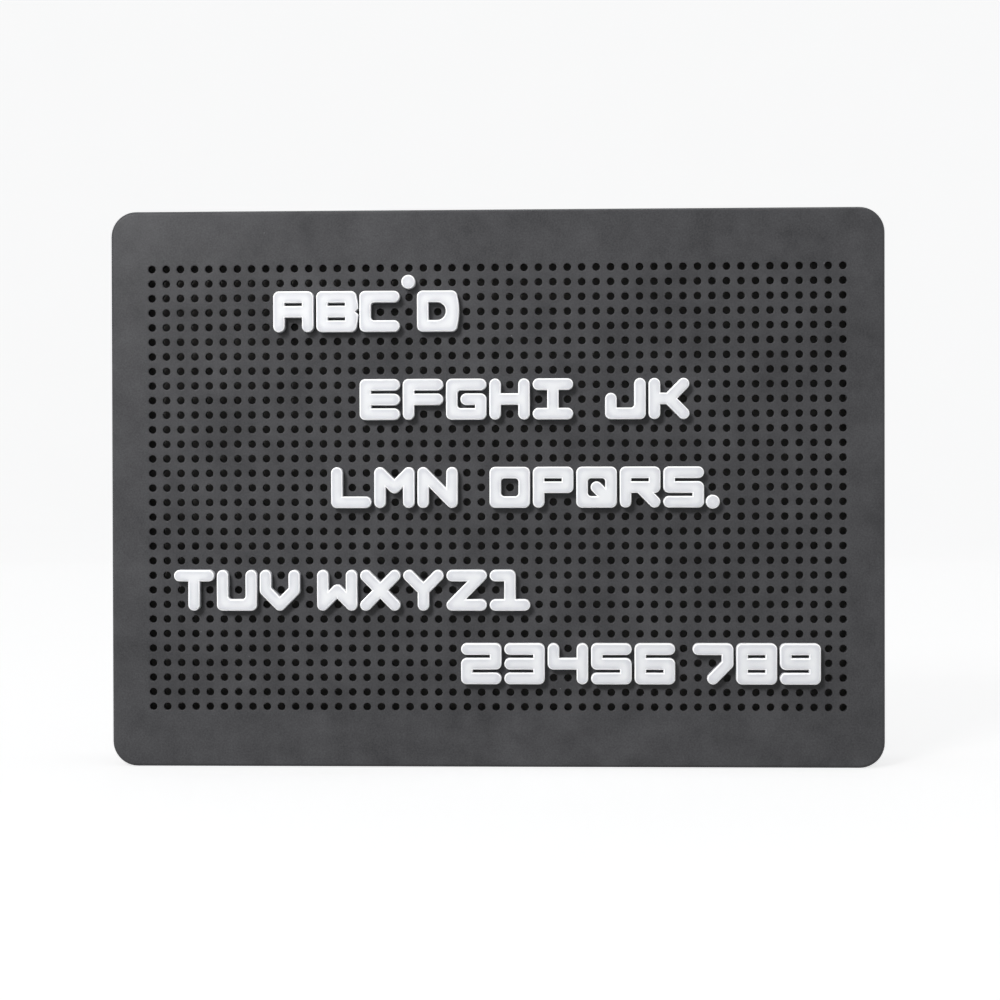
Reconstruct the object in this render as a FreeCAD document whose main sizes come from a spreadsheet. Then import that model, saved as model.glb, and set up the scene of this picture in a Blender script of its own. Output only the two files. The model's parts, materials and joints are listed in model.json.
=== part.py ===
"""Peg board light box: an upright case with a perforated face and plug-in characters.

The model stands in its own frame in millimetres: +Z up, the perforated face looks to -Y, and the
origin is the centre of the base. Every moulding is prismatic along Y, so most sketches lie in a
body's XZ plane, at a depth behind that body's own front plane.
"""
import FreeCAD, Part
import math
import os
import Sketcher
from FreeCAD import Placement, Rotation, Vector

doc = FreeCAD.newDocument("LightBox")

# --------------------------------------------------------------------------- driving dimensions

SIZES = {
    # case halves
    "case_width": 306.0,
    "case_height": 220.6,
    "case_depth": 45.0,
    "front_depth": 30.0,
    "corner_radius": 10.0,
    "front_edge_radius": 1.3,
    "rear_edge_radius": 2.0,
    "seam_bevel": 0.35,
    "case_wall": 2.5,
    "face_thickness": 3.0,
    "rear_wall": 2.0,
    "lip_height": 3.0,
    "lip_root": 3.0,
    "lip_thickness": 1.3,
    "lip_clearance": 0.15,
    # peg holes
    "hole_pitch_x": 5.69,
    "hole_pitch_z": 5.79,
    "hole_side_margin": 9.5,
    "hole_end_margin": 18.0,
    "hole_diameter": 3.0,
    "hole_field_rise": 0.43,
    # characters
    "stroke_width": 4.6,
    "character_thickness": 4.0,
    "character_edge_radius": 0.6,
    "character_seat_gap": 0.2,
    "dot_diameter": 5.5,
    "bowl_bulge": 0.7,
    "notch_size": 1.2,
    "inner_corner_radius": 1.3,
    "peg_diameter": 2.6,
    "peg_length": 6.2,
    "peg_tip": 0.4,
    # case screws, their posts and their bosses
    "screw_side_inset": 11.5,
    "screw_end_inset": 11.5,
    "screw_shank_diameter": 2.9,
    "screw_shank_length": 14.0,
    "screw_head_diameter": 5.6,
    "screw_head_height": 2.2,
    "screw_cross_size": 2.8,
    "screw_cross_width": 0.7,
    "screw_cross_depth": 1.2,
    "screw_recess_clearance": 0.4,
    "screw_recess_depth": 9.0,
    "screw_hole_clearance": 0.25,
    "pilot_clearance": 0.05,
    "pilot_spare": 2.0,
    "boss_wall": 2.2,
    # light stack
    "seal_rib_depth": 6.0,
    "seal_rib_thickness": 1.5,
    "tray_side_margin": 6.595,
    "tray_end_margin": 1.755,
    "tray_radius": 5.0,
    "tray_wall": 1.4,
    "tray_depth": 15.0,
    "diffuser_thickness": 1.5,
    "strip_count": 6,
    "strip_side_gap": 10.6,
    "strip_end_gap": 13.6,
    "strip_width": 8.0,
    "strip_thickness": 1.0,
    "chips_per_strip": 12,
    "chip_width": 3.5,
    "chip_height": 2.8,
    "chip_thickness": 0.8,
    "resistor_width": 2.0,
    "resistor_height": 1.2,
    "resistor_thickness": 0.5,
    "link_diameter": 1.2,
    "link_bend": 4.0,
    "link_rise": 4.0,
    # battery bay
    "cell_count": 6,
    "cell_diameter": 14.3,
    "cell_length": 50.5,
    "cell_nub_diameter": 5.5,
    "cell_nub_length": 1.2,
    "cell_edge": 0.7,
    "cell_pitch": 15.0,
    "cell_clearance": 0.3,
    "bay_centre_height": 48.0,
    "bay_side_margin": 1.0,
    "bay_wall": 2.4,
    "bay_floor": 1.5,
    "bay_rib_thickness": 1.0,
    "bay_rib_height": 3.0,
    "spring_length": 5.2,
    "spring_wire": 0.8,
    "spring_base_diameter": 9.0,
    "spring_tip_diameter": 6.0,
    "spring_turns": 3.5,
    "plate_thickness": 0.4,
    "plate_width": 11.0,
    "plate_height": 11.5,
    "plate_tab_width": 3.0,
    "plate_tab_reach": 3.0,
    "plate_tab_clearance": 0.2,
    "contact_gap": 0.1,
    # battery door
    "door_ledge": 1.6,
    "door_gap": 0.3,
    "door_seat_gap": 0.1,
    "door_radius": 3.0,
    "door_tab_spacing": 52.0,
    "door_tab_width": 8.0,
    "door_tab_length": 2.5,
    "door_tab_thickness": 1.5,
    "door_tab_clearance": 0.3,
    "door_tab_room": 1.6,
    "latch_width": 22.0,
    "latch_length": 13.0,
    "latch_slit": 0.9,
    "grip_count": 3,
    "grip_width": 14.0,
    "grip_height": 1.1,
    "grip_depth": 0.5,
    "grip_pitch": 2.6,
    "grip_inset": 3.0,
    "finger_notch_width": 18.0,
    "finger_notch_height": 5.0,
    "finger_notch_depth": 1.1,
    # wall hangers
    "keyhole_spacing": 180.0,
    "keyhole_drop": 48.6,
    "keyhole_entry_diameter": 9.0,
    "keyhole_slot_width": 4.4,
    "keyhole_slot_rise": 9.0,
    # control board
    "board_side_inset": 35.0,
    "board_centre_z": 48.0,
    "board_width": 60.0,
    "board_height": 46.0,
    "board_thickness": 1.6,
    "board_standoff": 5.5,
    "standoff_diameter": 6.0,
    "standoff_inset": 5.0,
    "board_screw_diameter": 2.2,
    "board_screw_length": 6.0,
    "board_screw_head_diameter": 4.4,
    "board_screw_head_height": 1.5,
    "board_hole_clearance": 0.15,
    "driver_width": 5.0,
    "driver_height": 4.0,
    "driver_thickness": 1.5,
    "driver_offset_x": 10.0,
    "driver_offset_z": -12.0,
    "chip_resistor_count": 3,
    "chip_resistor_pitch": 4.0,
    "chip_resistor_offset_x": -12.0,
    "chip_resistor_offset_z": -10.0,
    "chip_resistor_width": 2.0,
    "chip_resistor_height": 1.25,
    "chip_resistor_thickness": 0.6,
    "capacitor_diameter": 5.0,
    "capacitor_length": 7.0,
    "capacitor_offset_x": 8.0,
    "capacitor_offset_z": -6.0,
    # slide switch
    "switch_offset_x": -14.0,
    "switch_offset_z": 6.0,
    "switch_can_height": 6.4,
    "switch_can_depth": 4.6,
    "switch_can_wall": 0.6,
    "switch_block_width": 6.0,
    "switch_travel": 3.4,
    "switch_stem_width": 3.4,
    "switch_stem_height": 3.2,
    "switch_clearance": 0.2,
    "switch_recess_width": 15.0,
    "switch_recess_height": 8.0,
    "switch_recess_depth": 0.9,
    # power inlet
    "socket_offset_z": 6.0,
    "socket_width": 8.94,
    "socket_thickness": 3.26,
    "socket_length": 8.6,
    "socket_wall": 0.3,
    "socket_recess": 0.8,
    "socket_gap": 0.4,
    "socket_flat": 0.1,
    "tongue_width": 6.7,
    "tongue_thickness": 0.7,
    "tongue_recess": 1.2,
    # tray supports and inner wires
    "support_diameter": 7.0,
    "support_side_inset": 43.0,
    "support_drop": 62.6,
    "wire_diameter": 1.4,
    "wire_bend": 4.0,
    "wire_rise": 5.0,
    "wire_spread": 5.0,
    "wire_inset": 12.0,
    "wire_landing": 6.0,
    "lead_gap_index": 5,
    "lead_shift": 3.6666666667,
    "lead_spacing": 3.0,
    "lead_bend": 3.0,
    "lead_hole_diameter": 6.0,
    "lead_hole_margin": 0.8,
}

DERIVED = {
    "case_mid": "case_height / 2",
    "rear_depth": "case_depth - front_depth",
    "inner_width": "case_width - 2 * case_wall",
    "inner_height": "case_height - 2 * case_wall",
    "inner_radius": "corner_radius - case_wall",
    "front_cavity": "front_depth - face_thickness",
    "rear_cavity": "rear_depth - rear_wall",
    "lip_outer_width": "inner_width - 2 * lip_clearance",
    "lip_outer_height": "inner_height - 2 * lip_clearance",
    "lip_outer_radius": "inner_radius - lip_clearance",
    "lip_inner_width": "lip_outer_width - 2 * lip_thickness",
    "lip_inner_height": "lip_outer_height - 2 * lip_thickness",
    "lip_inner_radius": "lip_outer_radius - lip_thickness",
    "lip_root_width": "inner_width + case_wall",
    "lip_root_height": "inner_height + case_wall",
    "lip_root_radius": "inner_radius + case_wall / 2",
    "columns_each_side": "floor((case_width / 2 - hole_side_margin) / hole_pitch_x - 0.5)",
    "rows_each_side": "floor((case_height / 2 - hole_end_margin) / hole_pitch_z - 0.5)",
    "hole_columns": "2 * columns_each_side + 1",
    "hole_rows": "2 * rows_each_side + 1",
    "field_width": "hole_columns * hole_pitch_x",
    "field_height": "hole_rows * hole_pitch_z",
    "field_mid": "case_mid + hole_field_rise",
    "screw_outer_x": "case_width / 2 - screw_side_inset",
    "screw_inner_x": "screw_outer_x / 3",
    "screw_low_z": "screw_end_inset",
    "screw_high_z": "case_height - screw_end_inset",
    "boss_diameter": "screw_shank_diameter + 2 * boss_wall",
    "pilot_diameter": "screw_shank_diameter + 2 * pilot_clearance",
    "screw_seat": "rear_depth - screw_recess_depth",
    "pilot_depth": "screw_shank_length - screw_seat + pilot_spare",
    "screw_hole_diameter": "screw_shank_diameter + 2 * screw_hole_clearance",
    "screw_recess_diameter": "screw_head_diameter + 2 * screw_recess_clearance",
    "post_diameter": "screw_recess_diameter + boss_wall",
    "tray_width": "field_width + 2 * tray_side_margin",
    "tray_height": "field_height + 2 * tray_end_margin",
    "seal_inner_width": "tray_width - 2 * seal_rib_thickness",
    "seal_inner_height": "tray_height - 2 * seal_rib_thickness",
    "seal_inner_radius": "tray_radius - seal_rib_thickness",
    "diffuser_front": "face_thickness + seal_rib_depth",
    "tray_front": "diffuser_front + diffuser_thickness",
    "tray_back": "tray_front + tray_depth",
    "tray_inner_width": "tray_width - 2 * tray_wall",
    "tray_inner_height": "tray_height - 2 * tray_wall",
    "tray_inner_radius": "tray_radius - tray_wall",
    "tray_recess": "tray_depth - tray_wall",
    "strip_length": "tray_inner_width - 2 * strip_side_gap",
    "strip_rise": "tray_inner_height - strip_width - 2 * strip_end_gap",
    "strip_pitch": "strip_rise / (strip_count - 1)",
    "bay_width": "cell_count * cell_pitch + 2 * bay_side_margin",
    "bay_height": "cell_length + spring_length + 2 * plate_thickness + 2 * contact_gap",
    "bay_outer_width": "bay_width + 2 * bay_wall",
    "bay_outer_height": "bay_height + 2 * bay_wall",
    "bay_depth": "cell_diameter + 2 * cell_clearance",
    "bay_floor_depth": "rear_cavity - bay_depth",
    "bay_reach": "bay_depth + bay_floor",
    "bay_cut": "bay_depth + rear_wall",
    "bay_rib_length": "bay_height - 2 * plate_thickness - 2 * spring_length",
    "second_rib_x": "2 * cell_pitch",
    "bay_top": "bay_centre_height + bay_height / 2",
    "bay_bottom": "bay_centre_height - bay_height / 2",
    "door_width": "bay_width + 2 * door_ledge",
    "door_height": "bay_height + 2 * door_ledge",
    "door_thickness": "rear_wall - door_seat_gap",
    "door_opening_width": "door_width + 2 * door_gap",
    "door_opening_height": "door_height + 2 * door_gap",
    "door_opening_radius": "door_radius + door_gap",
    "door_bottom": "bay_centre_height - door_height / 2",
    "door_top": "bay_centre_height + door_height / 2",
    "door_tab_x": "door_tab_spacing / 2",
    "door_tab_height": "door_tab_length + door_ledge - door_gap",
    "door_tab_z": "door_bottom - door_tab_length + door_tab_height / 2",
    "door_root_height": "door_ledge - 2 * door_gap",
    "door_root_z": "door_bottom + door_gap + door_root_height / 2",
    "door_root_depth": "door_tab_clearance + door_tab_thickness + door_seat_gap",
    "tab_slot_width": "door_tab_width + 2 * door_tab_clearance",
    "tab_slot_height": "door_ledge + door_tab_length + 2 * door_tab_clearance",
    "tab_slot_z": "bay_bottom - tab_slot_height / 2 + door_tab_clearance",
    "tab_slot_depth": "door_tab_clearance + door_tab_thickness + door_tab_room",
    "slit_x": "latch_width / 2 - latch_slit / 2",
    "slit_z": "door_top - latch_length / 2",
    "grip_reach": "(grip_count - 1) * grip_pitch",
    "grip_z": "door_top - grip_inset - grip_reach - grip_height / 2",
    "finger_z": "door_top + door_gap + finger_notch_height / 2",
    "finger_height": "finger_notch_height + 2 * door_gap",
    "keyhole_x": "keyhole_spacing / 2",
    "keyhole_height": "case_height - keyhole_drop",
    "keyhole_slot_z": "keyhole_height + keyhole_slot_rise / 2",
    "keyhole_top": "keyhole_height + keyhole_slot_rise",
    "board_centre_x": "case_width / 2 - board_side_inset",
    "board_back": "rear_cavity - board_standoff",
    "board_front": "board_back - board_thickness",
    "standoff_left": "board_centre_x - board_width / 2 + standoff_inset",
    "standoff_right": "board_centre_x + board_width / 2 - standoff_inset",
    "standoff_low": "board_centre_z - board_height / 2 + standoff_inset",
    "standoff_high": "board_centre_z + board_height / 2 - standoff_inset",
    "board_pilot_diameter": "board_screw_diameter + 2 * pilot_clearance",
    "board_pilot_depth": "board_screw_length - board_thickness + 0.5",
    "board_hole_diameter": "board_screw_diameter + 2 * board_hole_clearance",
    "cell_axis": "bay_floor_depth + cell_clearance + cell_diameter / 2",
    "plate_front": "cell_axis - plate_height / 2",
    "output_x": "cell_pitch * (cell_count - 1) / 2",
    "tab_hole_width": "plate_tab_width + 2 * plate_tab_clearance",
    "tab_hole_depth": "plate_thickness + 2 * plate_tab_clearance",
    "tab_hole_z": "bay_top + bay_wall / 2",
    "lead_x": "lead_gap_index * strip_length / chips_per_strip - lead_shift",
    "second_strip_z": "field_mid - (strip_count / 2 - 1.5) * strip_pitch",
    "lead_hole_offset": "(strip_width + lead_hole_diameter) / 2 + lead_hole_margin",
    "lead_z": "second_strip_z - lead_hole_offset",
    "switch_room_width": "switch_block_width + switch_travel + 2 * switch_clearance",
    "switch_can_width": "switch_room_width + 2 * switch_can_wall",
    "switch_x": "board_centre_x + switch_offset_x",
    "switch_z": "board_centre_z + switch_offset_z",
    "switch_slot_width": "switch_stem_width + switch_travel + 2 * switch_clearance",
    "switch_slot_height": "switch_stem_height + 2 * switch_clearance",
    "socket_z": "board_centre_z + socket_offset_z",
    "socket_y": "board_back + socket_thickness / 2",
    "socket_hole_width": "socket_thickness + 2 * socket_gap",
    "socket_hole_height": "socket_width + 2 * socket_gap",
    "socket_hole_radius": "socket_hole_width / 2 - socket_flat",
    "socket_radius": "socket_thickness / 2 - socket_flat",
    "socket_inner_width": "socket_width - 2 * socket_wall",
    "socket_inner_thickness": "socket_thickness - 2 * socket_wall",
    "socket_inner_radius": "socket_inner_thickness / 2 - socket_flat",
    "socket_cavity": "socket_length - socket_wall",
    "support_x": "case_width / 2 - support_side_inset",
    "support_height": "case_height - support_drop",
    "support_reach": "rear_cavity + front_depth - tray_back",
}

sheet = doc.addObject("Spreadsheet::Sheet", "sizes")
line = 0
for alias, number in SIZES.items():
    line += 1
    sheet.set("A%d" % line, alias)
    sheet.set("B%d" % line, str(number))
    sheet.setAlias("B%d" % line, alias)
for alias, formula in DERIVED.items():
    line += 1
    sheet.set("A%d" % line, alias)
    sheet.set("B%d" % line, "=" + formula)
    sheet.setAlias("B%d" % line, alias)
doc.recompute()


def size(alias):
    """The number in the sheet's cell of that name."""
    return float(sheet.get(alias))


def count(alias):
    return int(round(size(alias)))


# ------------------------------------------------------------------------------ sketch helpers

FRONT = "-sizes.case_depth / 2"
SEAM = "sizes.front_depth - sizes.case_depth / 2"
front_y = -size("case_depth") / 2
seam_y = front_y + size("front_depth")

V_AXIS = -2
ROOT = (-1, 1)
Y_AXIS = Vector(0, 1, 0)
Z_AXIS = Vector(0, 0, 1)


def new_body(label, place):
    """A body whose front plane lies at the depth that the expression gives."""
    body = doc.addObject("PartDesign::Body", label)
    body.Label = label
    body.setExpression("Placement.Base.y", place)
    return body


def new_sketch(body, name, depth="0", role="XZ_Plane", sign="-"):
    """A sketch across the body at that depth: in the XZ plane its x is X, its y is Z."""
    sketch = body.newObject("Sketcher::SketchObject", name)
    for feature in body.Origin.OriginFeatures:
        if feature.Role == role:
            sketch.AttachmentSupport = [(feature, "")]
    sketch.MapMode = "FlatFace"
    sketch.setExpression("AttachmentOffset.Base.z", "%s(%s)" % (sign, depth))
    return sketch


def dimension(sketch, kind, *elements, alias):
    """Adds a dimension and binds it to the sheet's cell of that name."""
    index = sketch.addConstraint(Sketcher.Constraint(kind, *elements, size(alias)))
    sketch.setExpression("Constraints[%d]" % index, "sizes." + alias)


def place_point(sketch, element, point, across, up, side):
    """Dimensions a point from the origin; side -1 puts it to the left of it."""
    spot = (element, point)
    if across is None:
        sketch.addConstraint(Sketcher.Constraint("PointOnObject", *spot, V_AXIS))
    elif side > 0:
        dimension(sketch, "DistanceX", *ROOT, *spot, alias=across)
    else:
        dimension(sketch, "DistanceX", *spot, *ROOT, alias=across)
    dimension(sketch, "DistanceY", *ROOT, *spot, alias=up)


def draw_circle(sketch, diameter, across, up, side=1):
    centre = Vector(side * size(across) if across else 0, size(up), 0)
    circle = sketch.addGeometry(Part.Circle(centre, Z_AXIS, size(diameter) / 2))
    dimension(sketch, "Diameter", circle, alias=diameter)
    place_point(sketch, circle, 3, across, up, side)


def draw_box(sketch, width, height, across, up, side=1, radius=None):
    """A rectangle about a dimensioned centre, with rounded corners if a radius is named."""
    x = side * size(across) if across else 0
    z = size(up)
    half_w = size(width) / 2
    half_h = size(height) / 2
    r = size(radius) if radius else 0
    lines = []
    for ends in (((-half_w + r, -half_h), (half_w - r, -half_h)),
                 ((half_w, -half_h + r), (half_w, half_h - r)),
                 ((half_w - r, half_h), (-half_w + r, half_h)),
                 ((-half_w, half_h - r), (-half_w, -half_h + r))):
        (x0, z0), (x1, z1) = ends
        segment = Part.LineSegment(Vector(x + x0, z + z0, 0), Vector(x + x1, z + z1, 0))
        lines.append(sketch.addGeometry(segment))
    middle = sketch.addGeometry(Part.Point(Vector(x, z, 0)), True)
    for index in (0, 2):
        sketch.addConstraint(Sketcher.Constraint("Horizontal", lines[index]))
    for index in (1, 3):
        sketch.addConstraint(Sketcher.Constraint("Vertical", lines[index]))
    if radius:
        corners = ((half_w - r, -half_h + r, -90), (half_w - r, half_h - r, 0),
                   (-half_w + r, half_h - r, 90), (-half_w + r, -half_h + r, 180))
        arcs = []
        for corner_x, corner_z, start in corners:
            circle = Part.Circle(Vector(x + corner_x, z + corner_z, 0), Z_AXIS, r)
            arc = Part.ArcOfCircle(circle, math.radians(start), math.radians(start + 90))
            arcs.append(sketch.addGeometry(arc))
        for index in range(4):
            after = lines[(index + 1) % 4]
            sketch.addConstraint(Sketcher.Constraint("Tangent", lines[index], 2, arcs[index], 1))
            sketch.addConstraint(Sketcher.Constraint("Tangent", arcs[index], 2, after, 1))
        for index in (1, 2, 3):
            sketch.addConstraint(Sketcher.Constraint("Equal", arcs[0], arcs[index]))
        dimension(sketch, "Radius", arcs[0], alias=radius)
        sketch.addConstraint(Sketcher.Constraint("Symmetric", arcs[0], 3, arcs[2], 3, middle, 1))
    else:
        for index in range(4):
            after = lines[(index + 1) % 4]
            sketch.addConstraint(Sketcher.Constraint("Coincident", lines[index], 2, after, 1))
        sketch.addConstraint(Sketcher.Constraint("Symmetric", lines[0], 1, lines[2], 1, middle, 1))
    dimension(sketch, "DistanceX", lines[3], 1, lines[1], 1, alias=width)
    dimension(sketch, "DistanceY", lines[0], 1, lines[2], 1, alias=height)
    place_point(sketch, middle, 1, across, up, side)


def pad(body, sketch, length, backwards=True):
    """Adds material behind the sketch, or in front of it."""
    feature = body.newObject("PartDesign::Pad", sketch.Name + "_pad")
    feature.Profile = sketch
    feature.Reversed = backwards
    feature.setExpression("Length", "sizes." + length)
    return feature


def pocket(body, sketch, depth, backwards=True):
    """Takes material away behind the sketch, or in front of it."""
    feature = body.newObject("PartDesign::Pocket", sketch.Name + "_pocket")
    feature.Profile = sketch
    feature.Reversed = not backwards
    feature.setExpression("Length", "sizes." + depth)
    return feature


def edges_at_depth(feature, depth):
    """Names of the edges that lie in the plane at that depth behind the body's front."""
    names = []
    for index, edge in enumerate(feature.Shape.Edges):
        if all(abs(vertex.Y - depth) < 1e-6 for vertex in edge.Vertexes):
            names.append("Edge%d" % (index + 1))
    return names


def bevel(body, feature, depth, alias):
    doc.recompute()
    chamfer = body.newObject("PartDesign::Chamfer", body.Name + "_bevel")
    chamfer.Base = (feature, edges_at_depth(feature, depth))
    chamfer.setExpression("Size", "sizes." + alias)
    return chamfer


def round_off(body, feature, depth, alias):
    doc.recompute()
    fillet = body.newObject("PartDesign::Fillet", body.Name + "_round")
    fillet.Base = (feature, edges_at_depth(feature, depth))
    fillet.setExpression("Radius", "sizes." + alias)
    return fillet


def screw_places():
    """The case screws: four along the base and four along the top."""
    for across in ("screw_outer_x", "screw_inner_x"):
        for up in ("screw_low_z", "screw_high_z"):
            for side in (-1, 1):
                yield across, up, side


def standoff_places():
    for across in ("standoff_left", "standoff_right"):
        for up in ("standoff_low", "standoff_high"):
            yield across, up


def feature_of(label, shape, place=None):
    """A sub-part whose shape is worked out here from the sheet."""
    part = doc.addObject("Part::Feature", label)
    part.Label = label
    part.Shape = shape
    if place:
        part.Placement = place
    return part


# ------------------------------------------------------------------------------------ case


def make_hole_columns():
    """The perforated zone as upright strips, each with one column of peg holes."""
    columns = count("hole_columns")
    rows = count("hole_rows")
    half_pitch = size("hole_pitch_x") / 2
    bottom = size("field_mid") - size("field_height") / 2
    top = bottom + size("field_height")
    strips = []
    for column in range(columns):
        x = (2 * column - columns + 1) * half_pitch
        corners = [Vector(x - half_pitch, front_y, bottom), Vector(x + half_pitch, front_y, bottom),
                   Vector(x + half_pitch, front_y, top), Vector(x - half_pitch, front_y, top)]
        wires = [Part.makePolygon(corners + corners[:1])]
        for level in range(rows):
            z = bottom + (level + 0.5) * size("hole_pitch_z")
            circle = Part.makeCircle(size("hole_diameter") / 2, Vector(x, front_y, z), Y_AXIS)
            wires.append(Part.Wire([circle]))
        face = Part.makeFace(wires, "Part::FaceMakerBullseye")
        strip = face.extrude(Vector(0, size("face_thickness"), 0))
        strips.append(feature_of("hole_column_%02d" % (column + 1), strip))
    return strips


def make_front_panel():
    """The perforated face and the side walls, one moulding with bosses and a light-seal rib."""
    body = new_body("front_case", FRONT)
    outline = new_sketch(body, "front_outline")
    draw_box(outline, "case_width", "case_height", None, "case_mid", radius="corner_radius")
    block = pad(body, outline, "front_depth")
    bevelled = bevel(body, block, size("front_depth"), "seam_bevel")
    round_off(body, bevelled, 0, "front_edge_radius")
    window = new_sketch(body, "field_window")
    draw_box(window, "field_width", "field_height", None, "field_mid")
    pocket(body, window, "face_thickness")
    inside = new_sketch(body, "front_inside", "sizes.front_depth")
    draw_box(inside, "inner_width", "inner_height", None, "case_mid", radius="inner_radius")
    pocket(body, inside, "front_cavity", backwards=False)
    seal = new_sketch(body, "light_seal", "sizes.face_thickness")
    draw_box(seal, "tray_width", "tray_height", None, "field_mid", radius="tray_radius")
    draw_box(seal, "seal_inner_width", "seal_inner_height", None, "field_mid",
             radius="seal_inner_radius")
    pad(body, seal, "seal_rib_depth")
    bosses = new_sketch(body, "screw_bosses", "sizes.face_thickness")
    pilots = new_sketch(body, "screw_pilots", "sizes.front_depth")
    for across, up, side in screw_places():
        draw_circle(bosses, "boss_diameter", across, up, side)
        draw_circle(pilots, "pilot_diameter", across, up, side)
    pad(body, bosses, "front_cavity")
    pocket(body, pilots, "pilot_depth", backwards=False)
    panel = doc.addObject("Part::MultiFuse", "front_panel")
    panel.Shapes = [body] + make_hole_columns()
    panel.Refine = False
    return panel


def make_rear_shell():
    """The rear half: a shallow tray with battery bay, screw posts, standoffs and keyholes."""
    body = new_body("rear_shell", SEAM)
    outline = new_sketch(body, "rear_outline")
    draw_box(outline, "case_width", "case_height", None, "case_mid", radius="corner_radius")
    block = pad(body, outline, "rear_depth")
    bevelled = bevel(body, block, 0, "seam_bevel")
    round_off(body, bevelled, size("rear_depth"), "rear_edge_radius")
    inside = new_sketch(body, "rear_inside")
    draw_box(inside, "inner_width", "inner_height", None, "case_mid", radius="inner_radius")
    pocket(body, inside, "rear_cavity")

    root = new_sketch(body, "lip_foot")
    draw_box(root, "lip_root_width", "lip_root_height", None, "case_mid", radius="lip_root_radius")
    draw_box(root, "lip_inner_width", "lip_inner_height", None, "case_mid",
             radius="lip_inner_radius")
    pad(body, root, "lip_root")
    lip = new_sketch(body, "lip_ring")
    draw_box(lip, "lip_outer_width", "lip_outer_height", None, "case_mid",
             radius="lip_outer_radius")
    draw_box(lip, "lip_inner_width", "lip_inner_height", None, "case_mid",
             radius="lip_inner_radius")
    pad(body, lip, "lip_height", backwards=False)

    bay = new_sketch(body, "bay_block", "sizes.rear_cavity")
    draw_box(bay, "bay_outer_width", "bay_outer_height", None, "bay_centre_height")
    pad(body, bay, "bay_reach", backwards=False)
    hollow = new_sketch(body, "bay_hollow", "sizes.rear_depth")
    draw_box(hollow, "bay_width", "bay_height", None, "bay_centre_height")
    pocket(body, hollow, "bay_cut", backwards=False)
    opening = new_sketch(body, "door_opening", "sizes.rear_depth")
    draw_box(opening, "door_opening_width", "door_opening_height", None, "bay_centre_height",
             radius="door_opening_radius")
    pocket(body, opening, "rear_wall", backwards=False)
    slots = new_sketch(body, "tab_slots", "sizes.rear_cavity")
    for side in (-1, 1):
        draw_box(slots, "tab_slot_width", "tab_slot_height", "door_tab_x", "tab_slot_z", side)
    pocket(body, slots, "tab_slot_depth", backwards=False)
    ribs = new_sketch(body, "bay_ribs", "sizes.bay_floor_depth")
    for across, side in ((None, 1), ("cell_pitch", 1), ("cell_pitch", -1),
                         ("second_rib_x", 1), ("second_rib_x", -1)):
        draw_box(ribs, "bay_rib_thickness", "bay_rib_length", across, "bay_centre_height", side)
    pad(body, ribs, "bay_rib_height")
    tab_holes = new_sketch(body, "tab_holes", "sizes.plate_front - sizes.plate_tab_clearance")
    for side in (-1, 1):
        draw_box(tab_holes, "tab_hole_width", "bay_wall", "output_x", "tab_hole_z", side)
    pocket(body, tab_holes, "tab_hole_depth")
    finger = new_sketch(body, "finger_notch", "sizes.rear_depth")
    draw_box(finger, "finger_notch_width", "finger_height", None, "finger_z")
    pocket(body, finger, "finger_notch_depth", backwards=False)

    posts = new_sketch(body, "screw_posts")
    holes = new_sketch(body, "screw_holes", "sizes.rear_depth")
    heads = new_sketch(body, "screw_recesses", "sizes.rear_depth")
    for across, up, side in screw_places():
        draw_circle(posts, "post_diameter", across, up, side)
        draw_circle(holes, "screw_hole_diameter", across, up, side)
        draw_circle(heads, "screw_recess_diameter", across, up, side)
    pad(body, posts, "rear_cavity")
    pocket(body, holes, "rear_depth", backwards=False)
    pocket(body, heads, "screw_recess_depth", backwards=False)

    supports = new_sketch(body, "tray_supports", "sizes.rear_cavity")
    for side in (-1, 1):
        draw_circle(supports, "support_diameter", "support_x", "support_height", side)
        draw_circle(supports, "support_diameter", "screw_inner_x", "support_height", side)
    pad(body, supports, "support_reach", backwards=False)

    standoffs = new_sketch(body, "board_standoffs", "sizes.rear_cavity")
    pilots = new_sketch(body, "board_pilots", "sizes.board_back")
    for across, up in standoff_places():
        draw_circle(standoffs, "standoff_diameter", across, up)
        draw_circle(pilots, "board_pilot_diameter", across, up)
    pad(body, standoffs, "board_standoff", backwards=False)
    pocket(body, pilots, "board_pilot_depth")

    recess = new_sketch(body, "switch_recess", "sizes.rear_depth")
    draw_box(recess, "switch_recess_width", "switch_recess_height", "switch_x", "switch_z")
    pocket(body, recess, "switch_recess_depth", backwards=False)
    slot = new_sketch(body, "switch_slot", "sizes.rear_depth")
    draw_box(slot, "switch_slot_width", "switch_slot_height", "switch_x", "switch_z")
    pocket(body, slot, "rear_wall", backwards=False)

    entries = new_sketch(body, "keyhole_entries", "sizes.rear_depth")
    necks = new_sketch(body, "keyhole_necks", "sizes.rear_depth")
    tops = new_sketch(body, "keyhole_tops", "sizes.rear_depth")
    for side in (-1, 1):
        draw_circle(entries, "keyhole_entry_diameter", "keyhole_x", "keyhole_height", side)
        draw_box(necks, "keyhole_slot_width", "keyhole_slot_rise", "keyhole_x",
                 "keyhole_slot_z", side)
        draw_circle(tops, "keyhole_slot_width", "keyhole_x", "keyhole_top", side)
    pocket(body, entries, "rear_wall", backwards=False)
    pocket(body, necks, "rear_wall", backwards=False)
    pocket(body, tops, "rear_wall", backwards=False)

    socket = new_sketch(body, "socket_opening", "sizes.case_width / 2", "YZ_Plane", "")
    draw_box(socket, "socket_hole_width", "socket_hole_height", "socket_y", "socket_z",
             radius="socket_hole_radius")
    opening = body.newObject("PartDesign::Pocket", "socket_opening_pocket")
    opening.Profile = socket
    opening.setExpression("Length", "sizes.case_wall + sizes.lip_thickness")
    return body


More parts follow.
